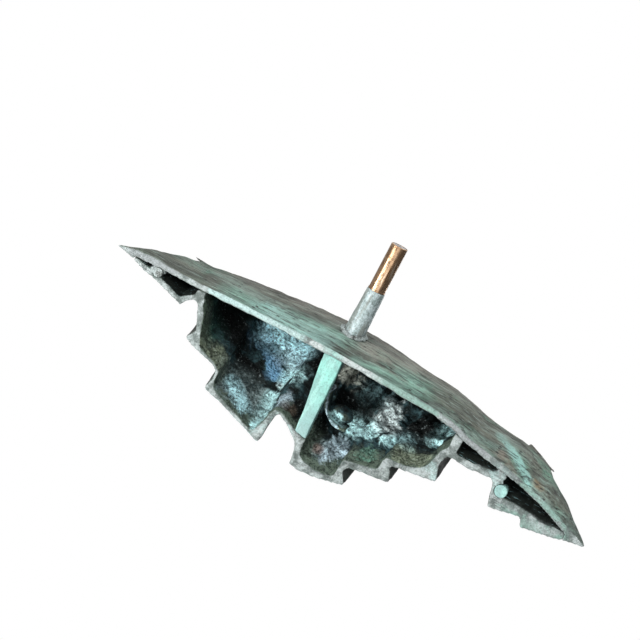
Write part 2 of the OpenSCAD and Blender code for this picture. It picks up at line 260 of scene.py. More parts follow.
patina = {
    "mid": (0.125, 0.190, 0.160),
    "moss": (0.105, 0.215, 0.160),
    "mint": (0.245, 0.430, 0.395),
    "sea": (0.155, 0.300, 0.240),
    "band": (0.230, 0.430, 0.395),
    "olive": (0.090, 0.100, 0.078),
    "brown": (0.120, 0.100, 0.078),
    "stone": (0.185, 0.190, 0.160),
    # dark of pits and creases, also painted shade on the notch faces
    "pitAndShadeDark": (0.018, 0.021, 0.018),
    "fleck": (0.270, 0.370, 0.330),
    "rimPale": (0.290, 0.330, 0.325),
    "rimDark": (0.080, 0.100, 0.093),
    "rimGreen": (0.165, 0.290, 0.245),
    "rimAqua": (0.340, 0.480, 0.465),
    "rimChalk": (0.400, 0.450, 0.440),
    "rimMint": (0.220, 0.430, 0.380),
    "rimStone": (0.215, 0.235, 0.240),
    "ribShade": (0.120, 0.250, 0.225),
    "ribLight": (0.190, 0.440, 0.380),
    "rodShade": (0.170, 0.290, 0.275),
    "rodLight": (0.290, 0.500, 0.460),
    "mintFoot": (0.170, 0.270, 0.265),
    "mintRun": (0.260, 0.480, 0.430),
    "mintGrain": (0.085, 0.180, 0.155),
    "sleeveShade": (0.180, 0.235, 0.230),
    "sleeveLight": (0.390, 0.460, 0.475),
    "sleeveRun": (0.130, 0.145, 0.128),
    "sleeveGrain": (0.080, 0.095, 0.090),
    "weldShade": (0.050, 0.058, 0.052),
    "weldLight": (0.210, 0.250, 0.245),
    "weldFleck": (0.500, 0.540, 0.540),
    # near black of the hollow, painted in as shade; it also darkens cracks and crust flecks
    "deep": (0.005, 0.008, 0.008),
    # painted shadow: the black of the darkest shaded places and of the small end cells
    "paintedShadowBlack": (0.0015, 0.0025, 0.0025),
    "lagoon": (0.180, 0.310, 0.325),
    "teal": (0.040, 0.085, 0.095),
    "bottle": (0.030, 0.085, 0.070),
    "cyan": (0.520, 0.900, 0.980),
    "blue": (0.130, 0.280, 0.420),
    "lilac": (0.330, 0.440, 0.490),
    "floor": (0.100, 0.135, 0.104),
    "moor": (0.165, 0.200, 0.142),
    "aqua": (0.400, 0.660, 0.670),
    "shell": (0.640, 0.760, 0.760),
    "ash": (0.120, 0.165, 0.165),
    "clay": (0.160, 0.120, 0.085),
    "sand": (0.400, 0.430, 0.370),
    "rust": (0.260, 0.095, 0.045),
    "ochre": (0.190, 0.130, 0.060),
    # painted highlight: the cream of the reflection bands on turned metal
    "paintedHighlightCream": (0.950, 0.800, 0.620),
}


# patterns of the cast bronze: scale, detail, roughness and warp
bronzeClouds = {
    "speck": (62.0, 8.0, 0.74, 0.9),
    "crust": (330.0, 6.0, 0.72, 0.4),
    "veins": (34.0, 6.0, 0.66, 1.4),
    "grit": (520.0, 3.0, 0.7, 0.0),
    "blotches": (19.0, 5.0, 0.62, 0.5),
    "pores": (60.0, 2.0, 0.55, 0.0),
    "lumps": (40.0, 6.0, 0.68, 0.8),
    "grain": (430.0, 4.0, 0.75, 0.0),
    "rimTone": (75.0, 6.0, 0.72, 0.0),
}
# patterns drawn out along the hull: scale each way, turn, detail, roughness and warp
bronzeRuns = {
    "streaks": ((8.0, 75.0, 75.0), 0.06, 7.0, 0.66, 0.5),
    "hairs": ((38.0, 360.0, 360.0), 0.09, 4.0, 0.65, 0.3),
    "bands": ((6.0, 34.0, 34.0), 0.12, 6.0, 0.7, 0.8),
    "folds": ((5.0, 44.0, 44.0), 0.10, 4.0, 0.6, 0.6),
}
# where the bronze changes, in metres from the spindle's axis, and its finish
bronze = {
    "brownBack": (-0.015, 0.035),
    # the painted shade on the notch faces fades out between these depths
    "notchShadeFade": (-0.030, 0.010),
    # painted light: the hollow floor is olive in front of these depths and painted near black as shade
    # behind them
    "paintedLightDepths": (-0.040, -0.022),
    # painted shade: beyond these distances along the hull the end cells are painted almost black
    "endCellShade": (0.160, 0.172),
    "openFace": (-0.0490, -0.0460),
    "wornEdge": (-0.046, -0.040),
    "pits": (90.0, 170.0, 170.0),
    "lineWidth": 0.020,
    "metal": 0.08,
    "outerGloss": 0.5,
    "innerGloss": 0.12,
    "relief": 0.0014,
}


def bronzeLook(tree, place):
    # the patterns and measures that the outside, the inside and the open face share
    look = {name: cloudy(tree, place, *values) for name, values in bronzeClouds.items()}
    for name, (scale, turn, *values) in bronzeRuns.items():
        look[name] = cloudy(tree, stretch(tree, place, scale, (0.0, 0.0, turn)), 1.0, *values)
    look["x"], look["y"], _ = axes(tree, place)
    shape = tree.nodes.new("ShaderNodeNewGeometry")
    look["nx"], look["ny"], look["nz"] = axes(tree, shape.outputs["True Normal"])
    look["ridge"] = shape.outputs["Pointiness"]
    hollow = tree.nodes.new("ShaderNodeAttribute")
    hollow.attribute_name = "hollow"
    look["inside"] = hollow.outputs["Fac"]
    stain = tree.nodes.new("ShaderNodeAttribute")
    stain.attribute_name = "stain"
    look["stain"] = stain.outputs["Color"]
    look["stainShare"] = stain.outputs["Alpha"]
    look["broken"] = centred(tree, look["speck"], 2.2)
    look["share"] = between(tree, sums(tree, "ADD", look["stainShare"], look["broken"]), 0.25, 0.75)
    look["crack"] = thinLine(tree, look["veins"], bronze["lineWidth"], 0.85)
    crease = thinLine(tree, look["folds"], bronze["lineWidth"], 0.75)
    look["crease"] = sums(tree, "MULTIPLY", crease, between(tree, look["blotches"], 0.42, 0.58))
    pits = cells(tree, stretch(tree, place, bronze["pits"], (0.0, 0.0, 0.5)), 1.0)
    pitted = between(tree, pits, 0.10, 0.26, 1.0, 0.0)
    look["pitted"] = sums(tree, "MULTIPLY", pitted, between(tree, look["pores"], 0.50, 0.60))
    return look


def bronzeOutside(tree, look):
    # streaks along the hull, browner towards the back, with dark creases and pits, and painted shade on the
    # notch faces that turn up or sideways
    streaks, hairs = look["streaks"], look["hairs"]
    skin = blendColour(tree, between(tree, streaks, 0.38, 0.60), patina["olive"], patina["mid"])
    skin = blendColour(tree, between(tree, look["blotches"], 0.48, 0.66), skin, patina["moss"])
    back = sums(tree, "ADD", look["y"], centred(tree, streaks, 0.16))
    skin = blendColour(tree, between(tree, back, *bronze["brownBack"], 0.0, 0.85), skin, patina["brown"])
    frayed = sums(tree, "ADD", look["stainShare"], sums(tree, "MULTIPLY", look["broken"], 0.7))
    wash = between(tree, frayed, 0.15, 0.95)
    skin = blendColour(tree, sums(tree, "MULTIPLY", wash, 0.85), skin, look["stain"])
    shading = between(tree, look["bands"], 0.34, 0.64, 0.42, 1.22)
    skin = blendColour(tree, 1.0, skin, shading, "MULTIPLY")
    skin = blendColour(tree, between(tree, streaks, 0.54, 0.68, 0.0, 0.35), skin, patina["fleck"])
    skin = blendColour(tree, between(tree, hairs, 0.54, 0.70, 0.0, 0.6), skin, patina["fleck"])
    skin = blendColour(tree, between(tree, hairs, 0.36, 0.49, 0.85, 0.0), skin, patina["pitAndShadeDark"])
    skin = blendColour(tree, look["crease"], skin, patina["pitAndShadeDark"])
    skin = blendColour(tree, look["pitted"], skin, patina["pitAndShadeDark"])
    # painted shade: notch faces turned up or sideways are painted nearly black near the open face, as if in
    # shadow
    steep = sums(tree, "ABSOLUTE", look["nx"], 0.0)
    paintedNotchShade = sums(tree, "MAXIMUM", between(tree, look["nz"], 0.10, 0.45), between(tree, steep, 0.40, 0.70))
    paintedNotchShade = sums(tree, "MULTIPLY", paintedNotchShade, between(tree, look["y"], *bronze["notchShadeFade"], 1.0, 0.15))
    return blendColour(tree, sums(tree, "MULTIPLY", paintedNotchShade, 0.92), skin, patina["pitAndShadeDark"])


def bronzeInside(tree, look):
    # painted near black as shade deep in, an olive zone behind the open face where painted light falls in,
    # and stains on what stands out
    lumps, crust, ridge = look["lumps"], look["crust"], look["ridge"]
    cave = blendColour(tree, between(tree, lumps, 0.44, 0.66), patina["deep"], patina["teal"])
    # painted highlight: raised points get an aqua sheen
    cave = blendColour(tree, between(tree, ridge, 0.52, 0.59, 0.0, 0.35), cave, patina["aqua"])
    # painted light and shade: near the open face the floor is olive, deeper in it stays near black
    mouth = sums(tree, "ADD", look["y"], centred(tree, lumps, 0.05))
    cave = blendColour(tree, between(tree, mouth, *bronze["paintedLightDepths"], 0.9, 0.0), cave, patina["floor"])
    broad = between(tree, look["speck"], 0.32, 0.66, 0.3, 1.3)
    tone = sums(tree, "MULTIPLY", broad, between(tree, crust, 0.3, 0.62, 0.45, 1.25))
    toned = blendColour(tree, 1.0, look["stain"], tone, "MULTIPLY")
    cave = blendColour(tree, look["share"], cave, toned)
    # painted glint: bright pale flecks on the stains
    paintedGlint = sums(tree, "MULTIPLY", between(tree, crust, 0.56, 0.68, 0.0, 0.55), look["share"])
    cave = blendColour(tree, paintedGlint, cave, blendColour(tree, 0.5, look["stain"], patina["shell"]))
    cave = blendColour(tree, between(tree, crust, 0.34, 0.47, 0.8, 0.0), cave, patina["deep"])
    # painted shade: hollow points between the lumps are painted near black
    cave = blendColour(tree, between(tree, ridge, 0.42, 0.485, 0.85, 0.0), cave, patina["deep"])
    cave = blendColour(tree, look["crack"], cave, patina["deep"])
    # painted shade: the small end cells are painted almost black
    ends = between(tree, sums(tree, "ABSOLUTE", look["x"], 0.0), *bronze["endCellShade"], 0.0, 0.92)
    cave = blendColour(tree, ends, cave, patina["paintedShadowBlack"])
    # painted highlight: thin scratchy glints in the dark end cells
    paintedScratchGlints = sums(tree, "MULTIPLY", between(tree, look["hairs"], 0.60, 0.67, 0.0, 0.7), ends)
    return blendColour(tree, paintedScratchGlints, cave, patina["lagoon"])


def bronzeRim(tree, look):
    # the open face: pale and granular
    grain = look["grain"]
    rim = blendColour(tree, between(tree, look["rimTone"], 0.40, 0.60), patina["rimDark"], patina["rimPale"])
    rim = blendColour(tree, sums(tree, "MULTIPLY", look["share"], 0.8), rim, look["stain"])
    rim = blendColour(tree, between(tree, grain, 0.38, 0.52, 0.55, 0.0), rim, patina["rimDark"])
    return blendColour(tree, between(tree, grain, 0.56, 0.70, 0.0, 0.35), rim, patina["rimChalk"])


def bronzeRelief(tree, look):
    # grain and streaks stand out, creases, pits and cracks lie deeper
    relief = sums(tree, "ADD", look["grain"], sums(tree, "MULTIPLY", look["streaks"], 1.6))
    relief = sums(tree, "ADD", relief, sums(tree, "MULTIPLY", look["hairs"], 0.5))
    dents = sums(tree, "ADD", look["pitted"], look["crease"])
    relief = sums(tree, "SUBTRACT", relief, sums(tree, "MULTIPLY", dents, 1.2))
    crags = sums(tree, "MULTIPLY", sums(tree, "ADD", look["speck"], look["crust"]), look["inside"])
    relief = sums(tree, "ADD", relief, sums(tree, "MULTIPLY", crags, 1.6))
    return sums(tree, "SUBTRACT", relief, sums(tree, "MULTIPLY", look["crack"], look["inside"]))


def castBronze():
    material, tree, shader, place = startMaterial("castBronze")
    look = bronzeLook(tree, place)
    colour = blendColour(tree, look["inside"], bronzeOutside(tree, look), bronzeInside(tree, look))
    facing = between(tree, look["ny"], -0.85, -0.55, 1.0, 0.0)
    front = sums(tree, "MULTIPLY", facing, between(tree, look["y"], *bronze["openFace"], 1.0, 0.0))
    colour = blendColour(tree, front, colour, bronzeRim(tree, look))
    nearFront = between(tree, look["y"], *bronze["wornEdge"], 1.0, 0.0)
    edge = sums(tree, "MULTIPLY", between(tree, look["ridge"], 0.53, 0.60, 0.0, 0.6), nearFront)
    colour = blendColour(tree, edge, colour, patina["rimPale"])
    colour = blendColour(tree, between(tree, look["grit"], 0.34, 0.48, 0.35, 0.0), colour, patina["pitAndShadeDark"])
    tree.links.new(colour, shader.inputs["Base Color"])
    tree.links.new(between(tree, look["blotches"], 0.3, 0.7, 0.52, 0.82), shader.inputs["Roughness"])
    shader.inputs["Metallic"].default_value = bronze["metal"]
    gloss = between(tree, look["inside"], 0.0, 1.0, bronze["outerGloss"], bronze["innerGloss"])
    tree.links.new(gloss, shader.inputs["Specular IOR Level"])
    addBump(tree, shader, bronzeRelief(tree, look), bronze["relief"], 0.9)
    return material


def mintPatina(name, shade, light):
    # shade and light are the two main tones; the foot of the rib runs out greyer
    material, tree, shader, place = startMaterial(name)
    height = axes(tree, place)[2]
    soft = cloudy(tree, place, 42.0, 6.0, 0.66, 0.5)
    grain = cloudy(tree, place, 420.0, 3.0, 0.7)
    runs = cloudy(tree, stretch(tree, place, (190.0, 190.0, 24.0), (0.0, 0.12, 0.0)), 1.0, 5.0, 0.6)
    colour = blendColour(tree, between(tree, soft, 0.38, 0.64), shade, light)
    foot = sums(tree, "ADD", height, centred(tree, soft, 0.10))
    colour = blendColour(tree, between(tree, foot, 0.105, 0.185, 0.0, 0.9), colour, patina["mintFoot"])
    colour = blendColour(tree, between(tree, runs, 0.54, 0.68, 0.0, 0.5), colour, patina["mintRun"])
    colour = blendColour(tree, between(tree, grain, 0.36, 0.50, 0.5, 0.0), colour, patina["mintGrain"])
    tree.links.new(colour, shader.inputs["Base Color"])
    tree.links.new(between(tree, soft, 0.3, 0.7, 0.55, 0.8), shader.inputs["Roughness"])
    addBump(tree, shader, sums(tree, "ADD", soft, grain), 0.0007, 0.8)
    return material


def sleevePatina():
    material, tree, shader, place = startMaterial("sleevePatina")
    soft = cloudy(tree, place, 90.0, 7.0, 0.72, 0.7)
    grain = cloudy(tree, place, 420.0, 5.0, 0.78)
    runs = cloudy(tree, stretch(tree, place, (150.0, 150.0, 16.0)), 1.0, 5.0)
    colour = blendColour(tree, between(tree, soft, 0.38, 0.66), patina["sleeveShade"], patina["sleeveLight"])
    colour = blendColour(tree, between(tree, runs, 0.50, 0.62, 0.0, 0.75), colour, patina["sleeveRun"])
    colour = blendColour(tree, between(tree, grain, 0.38, 0.52, 0.75, 0.0), colour, patina["sleeveGrain"])
    tree.links.new(colour, shader.inputs["Base Color"])
    tree.links.new(between(tree, soft, 0.3, 0.7, 0.42, 0.7), shader.inputs["Roughness"])
    shader.inputs["Metallic"].default_value = 0.25
    addBump(tree, shader, sums(tree, "ADD", soft, grain), 0.0005, 0.8)
    return material


def weldPatina():
    material, tree, shader, place = startMaterial("weldPatina")
    soft = cloudy(tree, place, 120.0, 4.0, 0.6)
    grain = cloudy(tree, place, 700.0, 3.0, 0.7)
    colour = blendColour(tree, between(tree, soft, 0.40, 0.62), patina["weldShade"], patina["weldLight"])
    colour = blendColour(tree, between(tree, grain, 0.52, 0.66, 0.0, 0.6), colour, patina["weldFleck"])
    tree.links.new(colour, shader.inputs["Base Color"])
    shader.inputs["Roughness"].default_value = 0.72
    addBump(tree, shader, sums(tree, "ADD", soft, grain), 0.0007, 0.9)
    return material


def turnedMetal(name, bright, dark, tarnish, rough):
    material, tree, shader, place = startMaterial(name)
    cuts = cloudy(tree, stretch(tree, place, (30.0, 30.0, 2200.0)), 1.0, 3.0, 0.6)
    cloud = cloudy(tree, place, 95.0, 5.0, 0.65, 0.8)
    runsAndPaintedReflections = cloudy(tree, stretch(tree, place, (240.0, 240.0, 26.0)), 1.0, 5.0, 0.65, 0.6)
    colour = blendColour(tree, between(tree, cuts, 0.40, 0.60, 0.30, 0.0), bright, dark)
    colour = blendColour(tree, between(tree, cloud, 0.48, 0.66, 0.0, 0.8), colour, tarnish)
    # painted reflection: axial dark and cream bands stand in for the reflections of a polished round part
    colour = blendColour(tree, between(tree, runsAndPaintedReflections, 0.54, 0.64, 0.0, 0.85), colour, dark)
    colour = blendColour(tree, between(tree, runsAndPaintedReflections, 0.33, 0.42, 0.7, 0.0), colour, patina["paintedHighlightCream"])
    tree.links.new(colour, shader.inputs["Base Color"])
    shader.inputs["Metallic"].default_value = 1.0
    tree.links.new(between(tree, cloud, 0.35, 0.70, rough, rough + 0.24), shader.inputs["Roughness"])
    relief = sums(tree, "ADD", sums(tree, "MULTIPLY", cuts, 0.25), sums(tree, "MULTIPLY", runsAndPaintedReflections, 0.8))
    addBump(tree, shader, relief, 0.00010, 0.7)
    return material


castMaterial = castBronze()
ribMaterial = mintPatina("ribPatina", patina["ribShade"], patina["ribLight"])
rodMaterial = mintPatina("rodPatina", patina["rodShade"], patina["rodLight"])
sleeveMaterial = sleevePatina()
weldMaterial = weldPatina()
turned = {
    "bush": {"bright": (0.620, 0.410, 0.250), "dark": (0.170, 0.080, 0.036),
             "tarnish": (0.150, 0.085, 0.048), "rough": 0.15},
    "steel": {"bright": (0.560, 0.560, 0.570), "dark": (0.330, 0.330, 0.340),
              "tarnish": (0.180, 0.160, 0.140), "rough": 0.28},
}
bushMaterial = turnedMetal("polishedBronze", **turned["bush"])
steelMaterial = turnedMetal("turnedSteel", **turned["steel"])
print("materials ready")


# the castings

castings = {
    "grain": {"bellyCasting": 0.0014, "steppedCasting": 0.0017},
    "swell": 0.00025,
    "mouth": (-0.043, -0.020),   # the lumps grow between these depths behind the open face
    "leadLumps": 0.40,           # share of their height that the lumps have on the lead side
    "leadStart": (0.0, -0.03),   # they grow to full height between these places along the hull
    "front": -0.0502,            # nothing stands proud of this
    "faceStart": -0.0485,        # the open face lies in front of this
    "faceTurn": -0.7,
    "hollowStart": 0.4,
    "lumpShape": (1.0, 0.45, 0.8),
}
# hammered patterns: name, size, height, middle, and the points that it moves
castMarks = [
    ("innerLumps", 0.021, 0.011, 0.42, "inner"),
    ("innerKnobs", 0.0085, 0.0050, 0.5, "inner"),
    ("castWaves", 0.045, 0.0030, 0.5, ""),
    ("castDents", 0.013, 0.0012, 0.5, ""),
]
groups = {
    "bellyCasting": ["lead_tip", "lead_belly", "mid_belly", "tail_belly", "tail_tip"],
    "steppedCasting": ["lead_plate", "lead_wall", "lead_step_1", "lead_step_2", "lead_web", "lead_spine",
                       "foot_plate", "tail_step_1", "tail_step_2", "tail_step_3", "slot_plate", "tail_wall",
                       "tail_plate", "slot_web", "tail_web", "mid_spine", "tail_spine"],
}


def spotOn(solid, share):
    # a place in a piece's box: 0 to 1 along the hull, from front to back and from belly to top
    low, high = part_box(solid)
    return tuple(low[side] + (high[side] - low[side]) * share[side] for side in range(3))


# the pale lumps of weld where walls and rods meet the open face: piece, place in its box and size
weldLumps = {
    "steppedCasting": [
        ("lead_web", (0.5, 0.05, 0.8), 0.0060),
        ("lead_web", (0.1, 0.05, 1.1), 0.0045),
        ("lead_rod", (0.9, 0.4, 0.3), 0.0050),
        ("lead_rod", (0.1, 0.4, 0.2), 0.0045),
        ("lead_rod", (0.2, 0.4, 0.9), 0.0040),
        ("tail_web", (0.4, 0.05, 0.9), 0.0065),
        ("slot_web", (0.7, 0.05, 0.6), 0.0058),
        ("tail_step_3", (0.2, 0.05, 0.8), 0.0050),
    ],
}
# stains as runs of colour: piece, first and last place in its box, reach, colour and strength
stains = {
    # the near-black runs inside are painted shadow, not stains
    "inner": [
        ("lead_wall", (0.3, 0.2, 0.4), (0.3, 0.3, 0.7), 0.030, "bottle", 0.6),
        ("lead_wall", (0.3, 0.1, 0.2), (0.2, 0.1, 0.9), 0.018, "moor", 0.8),
        ("lead_step_1", (0.9, 0.5, 0.3), (0.3, 0.5, 0.4), 0.030, "paintedShadowBlack", 0.9),
        ("lead_step_1", (0.4, 0.1, 0.6), (0.3, 0.1, 0.7), 0.024, "moor", 1.0),
        ("lead_step_2", (0.8, 0.8, 0.3), (0.3, 0.8, 0.3), 0.028, "cyan", 1.0),
        ("lead_step_2", (0.9, 0.7, 0.3), (0.8, 0.7, 0.4), 0.020, "blue", 0.6),
        ("lead_step_2", (0.7, 0.7, 0.4), (0.4, 0.5, 0.5), 0.017, "blue", 0.7),
        ("lead_step_2", (0.9, 0.4, 0.5), (0.6, 0.4, 0.6), 0.018, "paintedShadowBlack", 1.0),
        ("lead_step_2", (0.4, 0.7, 0.4), (0.3, 0.7, 0.4), 0.020, "lilac", 0.7),
        ("lead_step_2", (0.3, 0.6, 0.4), (0.25, 0.5, 0.6), 0.010, "aqua", 1.0),
        ("lead_step_2", (0.25, 0.5, 0.6), (0.3, 0.5, 0.6), 0.006, "shell", 1.0),
        ("lead_step_2", (0.25, 0.4, 0.7), (0.2, 0.1, 0.9), 0.015, "aqua", 1.0),
        ("lead_step_2", (0.8, 0.2, 0.7), (0.5, 0.1, 0.8), 0.014, "cyan", 1.0),
        ("lead_step_2", (0.9, 0.2, 0.7), (0.4, 0.3, 0.8), 0.034, "ash", 0.8),
        ("lead_step_2", (0.1, 0.1, 0.6), (0.1, 0.2, 0.6), 0.014, "lilac", 1.0),
        ("lead_step_2", (0.1, 0.5, 0.4), (0.1, 0.4, 0.45), 0.015, "aqua", 0.7),
        ("foot_plate", (0.9, 0.1, 0.6), (0.8, 0.1, 0.6), 0.011, "clay", 1.0),
        ("foot_plate", (0.6, 0.1, 0.6), (0.7, 0.3, 0.6), 0.014, "paintedShadowBlack", 1.0),
        ("foot_plate", (1.0, 0.3, 0.5), (1.0, 0.3, 0.55), 0.012, "paintedShadowBlack", 0.9),
        ("foot_plate", (1.0, 0.7, 0.2), (0.9, 0.6, 0.3), 0.020, "paintedShadowBlack", 1.0),
        ("foot_plate", (0.1, 0.7, 0.2), (0.0, 0.7, 0.2), 0.024, "sand", 1.0),
        ("tail_step_1", (0.7, 0.6, 0.4), (0.6, 0.6, 0.4), 0.024, "paintedShadowBlack", 1.0),
        ("tail_step_1", (0.5, 0.7, 0.25), (0.3, 0.7, 0.25), 0.022, "lagoon", 0.7),
        ("tail_step_1", (0.1, 0.6, 0.25), (0.0, 0.5, 0.4), 0.022, "shell", 0.8),
        ("tail_step_1", (0.2, 0.4, 0.5), (0.5, 0.5, 0.55), 0.020, "aqua", 0.8),
        ("tail_step_1", (0.4, 0.6, 0.4), (0.2, 0.6, 0.4), 0.014, "ash", 0.8),
        ("tail_step_1", (0.9, 0.3, 0.6), (0.9, 0.3, 0.7), 0.018, "paintedShadowBlack", 1.0),
        ("tail_step_1", (0.9, 0.1, 0.8), (0.9, 0.2, 0.7), 0.022, "floor", 1.0),
        ("tail_step_1", (0.75, 0.2, 0.8), (0.75, 0.2, 0.82), 0.008, "rust", 1.0),
        ("tail_step_1", (0.6, 0.2, 0.8), (0.5, 0.3, 0.7), 0.020, "lilac", 0.8),
        ("tail_step_2", (0.2, 0.5, 0.3), (0.0, 0.5, 0.3), 0.020, "paintedShadowBlack", 1.0),
        ("tail_step_2", (0.3, 0.4, 0.4), (0.0, 0.4, 0.4), 0.012, "paintedShadowBlack", 1.0),
        ("tail_step_2", (0.4, 0.4, 0.6), (0.2, 0.3, 0.5), 0.018, "lagoon", 0.7),
        ("tail_step_2", (0.6, 0.3, 0.6), (0.5, 0.3, 0.6), 0.013, "aqua", 0.6),
        ("tail_step_2", (0.7, 0.2, 0.8), (0.8, 0.1, 0.8), 0.018, "moss", 0.5),
        ("tail_step_3", (0.5, 0.6, 0.3), (0.4, 0.6, 0.3), 0.012, "aqua", 0.9),
        ("tail_step_3", (0.5, 0.4, 0.5), (0.3, 0.6, 0.3), 0.014, "aqua", 0.8),
        ("tail_step_3", (0.8, 0.1, 0.8), (0.6, 0.1, 0.7), 0.022, "moor", 0.9),
        ("inner_hood", (0.5, 0.3, 0.9), (0.3, 0.5, 1.0), 0.015, "aqua", 0.9),
        ("inner_hood", (0.6, 0.4, 0.3), (0.3, 0.4, 0.4), 0.012, "paintedShadowBlack", 0.9),
        ("inner_hood", (0.9, 0.0, 0.0), (0.9, 0.0, 0.3), 0.005, "lilac", 1.0),
        ("inner_hood", (0.9, 0.0, 0.3), (0.7, 0.0, 0.8), 0.005, "lilac", 1.0),
        ("inner_hood", (0.7, 0.0, 0.8), (0.3, 0.0, 1.0), 0.005, "lilac", 1.0),
    ],
    "outer": [
        ("lead_belly", (1.0, 0.0, 0.0), (0.4, 0.1, 0.0), 0.034, "olive", 0.9),
        ("lead_belly", (0.2, 0.1, 0.0), (0.0, 0.1, 0.0), 0.022, "sea", 0.8),
        ("mid_belly", (0.9, 0.1, 0.0), (0.6, 0.1, 0.0), 0.026, "mint", 1.0),
        ("mid_belly", (0.8, 0.2, 0.0), (0.5, 0.2, 0.0), 0.020, "sea", 0.7),
        ("mid_belly", (0.4, 0.3, 0.0), (0.2, 0.5, 0.0), 0.030, "stone", 0.8),
        ("mid_belly", (0.2, 0.25, 0.0), (0.1, 0.2, 0.0), 0.018, "sea", 0.8),
        ("mid_belly", (0.4, 0.05, 0.0), (0.1, 0.05, 0.0), 0.014, "sea", 0.9),
        ("mid_belly", (0.1, 0.2, 0.0), (0.1, 0.21, 0.0), 0.005, "pitAndShadeDark", 1.0),
        ("tail_belly", (0.9, 0.3, 0.0), (0.6, 0.4, 0.0), 0.030, "olive", 0.9),
        ("tail_belly", (0.55, 0.35, 0.0), (0.45, 0.2, 0.0), 0.009, "band", 0.8),
        ("tail_belly", (0.45, 0.2, 0.0), (0.3, 0.05, 0.0), 0.009, "band", 0.9),
        ("tail_belly", (0.4, 0.4, 0.0), (0.3, 0.3, 0.0), 0.014, "olive", 1.0),
        ("tail_belly", (0.5, 0.1, 0.0), (0.4, 0.0, 0.0), 0.010, "brown", 0.8),
        ("tail_belly", (0.27, 0.1, 0.0), (0.24, 0.1, 0.0), 0.007, "ochre", 1.0),
        ("tail_belly", (0.2, 0.1, 0.0), (0.0, 0.3, 0.0), 0.018, "olive", 0.7),
    ],
    "rim": [
        ("lead_belly", (1.0, 0.0, 0.7), (0.7, 0.0, 0.6), 0.016, "rimStone", 0.8),
        ("lead_belly", (0.3, 0.0, 0.6), (0.0, 0.0, 0.4), 0.014, "rimAqua", 0.8),
        ("mid_belly", (1.0, 0.0, 0.7), (0.7, 0.0, 0.8), 0.014, "rimAqua", 0.9),
        ("mid_belly", (0.6, 0.0, 0.8), (0.55, 0.0, 0.8), 0.010, "rimChalk", 1.0),
        ("mid_belly", (0.53, 0.0, 0.6), (0.5, 0.0, 0.8), 0.012, "rimMint", 1.0),
        ("mid_belly", (0.45, 0.0, 0.7), (0.3, 0.0, 0.7), 0.014, "rimChalk", 0.8),
        ("mid_belly", (0.25, 0.0, 0.7), (0.0, 0.0, 0.8), 0.016, "rimGreen", 1.0),
        ("tail_belly", (0.8, 0.0, 0.3), (0.6, 0.0, 0.4), 0.014, "rimStone", 0.9),
        ("tail_belly", (0.5, 0.0, 0.5), (0.4, 0.0, 0.6), 0.012, "rimDark", 0.6),
        ("tail_belly", (0.3, 0.0, 0.7), (0.1, 0.0, 0.8), 0.014, "rimGreen", 0.8),
        ("foot_plate", (0.6, 0.0, 0.75), (0.5, 0.0, 0.8), 0.010, "rimAqua", 0.6),
        ("lead_step_2", (0.1, 0.0, 0.7), (0.2, 0.0, 0.9), 0.012, "rimAqua", 0.4),
        ("tail_wall", (0.7, 0.0, 0.5), (0.9, 0.0, 0.4), 0.016, "rimAqua", 0.6),
        ("tail_wall", (0.5, 0.0, 0.9), (0.0, 0.0, 0.9), 0.016, "rimGreen", 0.4),
        ("tail_plate", (0.9, 0.0, 0.8), (0.1, 0.0, 0.6), 0.020, "rimGreen", 0.45),
        ("tail_step_3", (0.4, 0.0, 0.7), (0.2, 0.0, 0.8), 0.012, "rimAqua", 0.5),
    ],
}


def addLump(piece, spot, size, shape):
    dropSelection()
    bpy.ops.mesh.primitive_ico_sphere_add(subdivisions=3, radius=size, location=spot)
    bpy.ops.object.mode_set(mode="EDIT")
    bpy.ops.mesh.select_all(action="SELECT")
    bpy.ops.transform.resize(value=shape, center_override=spot)
    bpy.ops.object.mode_set(mode="OBJECT")
    bpy.ops.object.transform_apply(location=True, rotation=True, scale=True)
    piece.select_set(True)
    bpy.context.view_layer.objects.active = piece
    bpy.ops.object.join()


# the torn points of the back edge: piece, foot and tip in its box, and half width
barbs = {
    "bellyCasting": [("tail_spine", (0.4, 0.7, 0.25), (0.2, 0.8, 0.4), 0.0050),
                     ("lead_spine", (0.5, 0.6, 0.0), (0.7, 0.7, 0.05), 0.0040)],
}
barbMake = {"sunk": 1.2, "point": 0.0006, "sides": 16}


def addBarb(piece, foot, tip, width):
    # the foot is sunk into the skin, so that only the point stands clear
    spot, normal = piece.closest_point_on_mesh(Vector(foot))[1:3]
    root = spot - normal * width * barbMake["sunk"]
    way = Vector(tip) - root
    turn = way.to_track_quat("Z", "Y").to_euler()
    dropSelection()
    bpy.ops.mesh.primitive_cone_add(vertices=barbMake["sides"], radius1=width, radius2=barbMake["point"],
                                    depth=way.length, location=root + way / 2, rotation=turn)
    bpy.ops.object.transform_apply(location=True, rotation=True, scale=True)
    piece.select_set(True)
    bpy.context.view_layer.objects.active = piece
    bpy.ops.object.join()


hull = {}
for name, solids in groups.items():
    piece = copySolids(name, solids)
    for solid, foot, tip, width in barbs.get(name, []):
        addBarb(piece, spotOn(solid, foot), spotOn(solid, tip), width)
    for solid, share, size in weldLumps.get(name, []):
        addLump(piece, spotOn(solid, share), size, castings["lumpShape"])
    melt(piece, castings["grain"][name], castings["swell"], 2)
    hull[name] = piece
    print(name, len(piece.data.vertices), "points")

# points in the air of the hull's hollow: belly below and stepped wall above
trees = {name: surfaceTree(piece) for name, piece in hull.items()}
boxLow, boxHigh = (Vector(corner) for corner in (cadBox[0], cadBox[1]))
air = {
    "along": 0.009,
    "depths": (-0.0465, -0.036, -0.022, -0.006, 0.010, 0.026, 0.042),
    "bottom": 0.062,
    "upwards": 0.0045,
    "clear": 0.0008,   # least distance from a point to a wall
    "lift": 0.0006,    # a look starts this far off the skin
    "nearest": 5,
}


